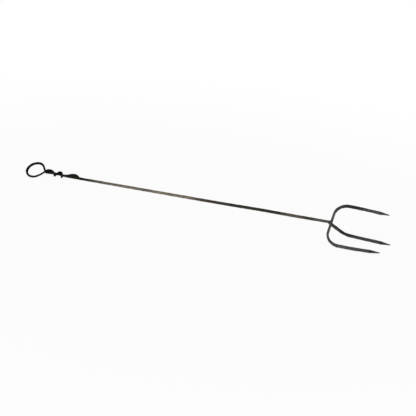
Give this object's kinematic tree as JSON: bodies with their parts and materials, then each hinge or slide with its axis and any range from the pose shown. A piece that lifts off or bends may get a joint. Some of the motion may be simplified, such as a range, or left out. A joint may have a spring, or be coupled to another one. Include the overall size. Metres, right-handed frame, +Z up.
{
  "type": "toasting fork",
  "caption": "Long hand-forged iron toasting fork with a square shank, a round hanging eye with a wrapped leaf-ended tail, and a U-shaped bow of prongs with a dropped middle prong.",
  "frame": {"origin": "middle of the fork's box in plan, on the surface that it lies on", "axes": "+X along the shank towards the prongs, +Y away from the low outer prong, +Z up from the surface that the fork lies on"},
  "size_m": [0.7632, 0.085, 0.056],
  "materials": {
    "shank_iron": "hand-rubbed wrought iron, brown-grey, dark towards the eye and the weld",
    "handle_iron": "black wrought iron with forge scale and old grease",
    "prong_iron": "dark grey fire-scaled wrought iron with dull bare edges"
  },
  "bodies": {
    "root": {"shank": "shank_iron", "hanging_eye": "handle_iron", "wrapped_tail": "handle_iron", "leaf_end": "handle_iron", "prong_bow": "prong_iron", "middle_prong": "prong_iron"}
  },
  "joints": []
}
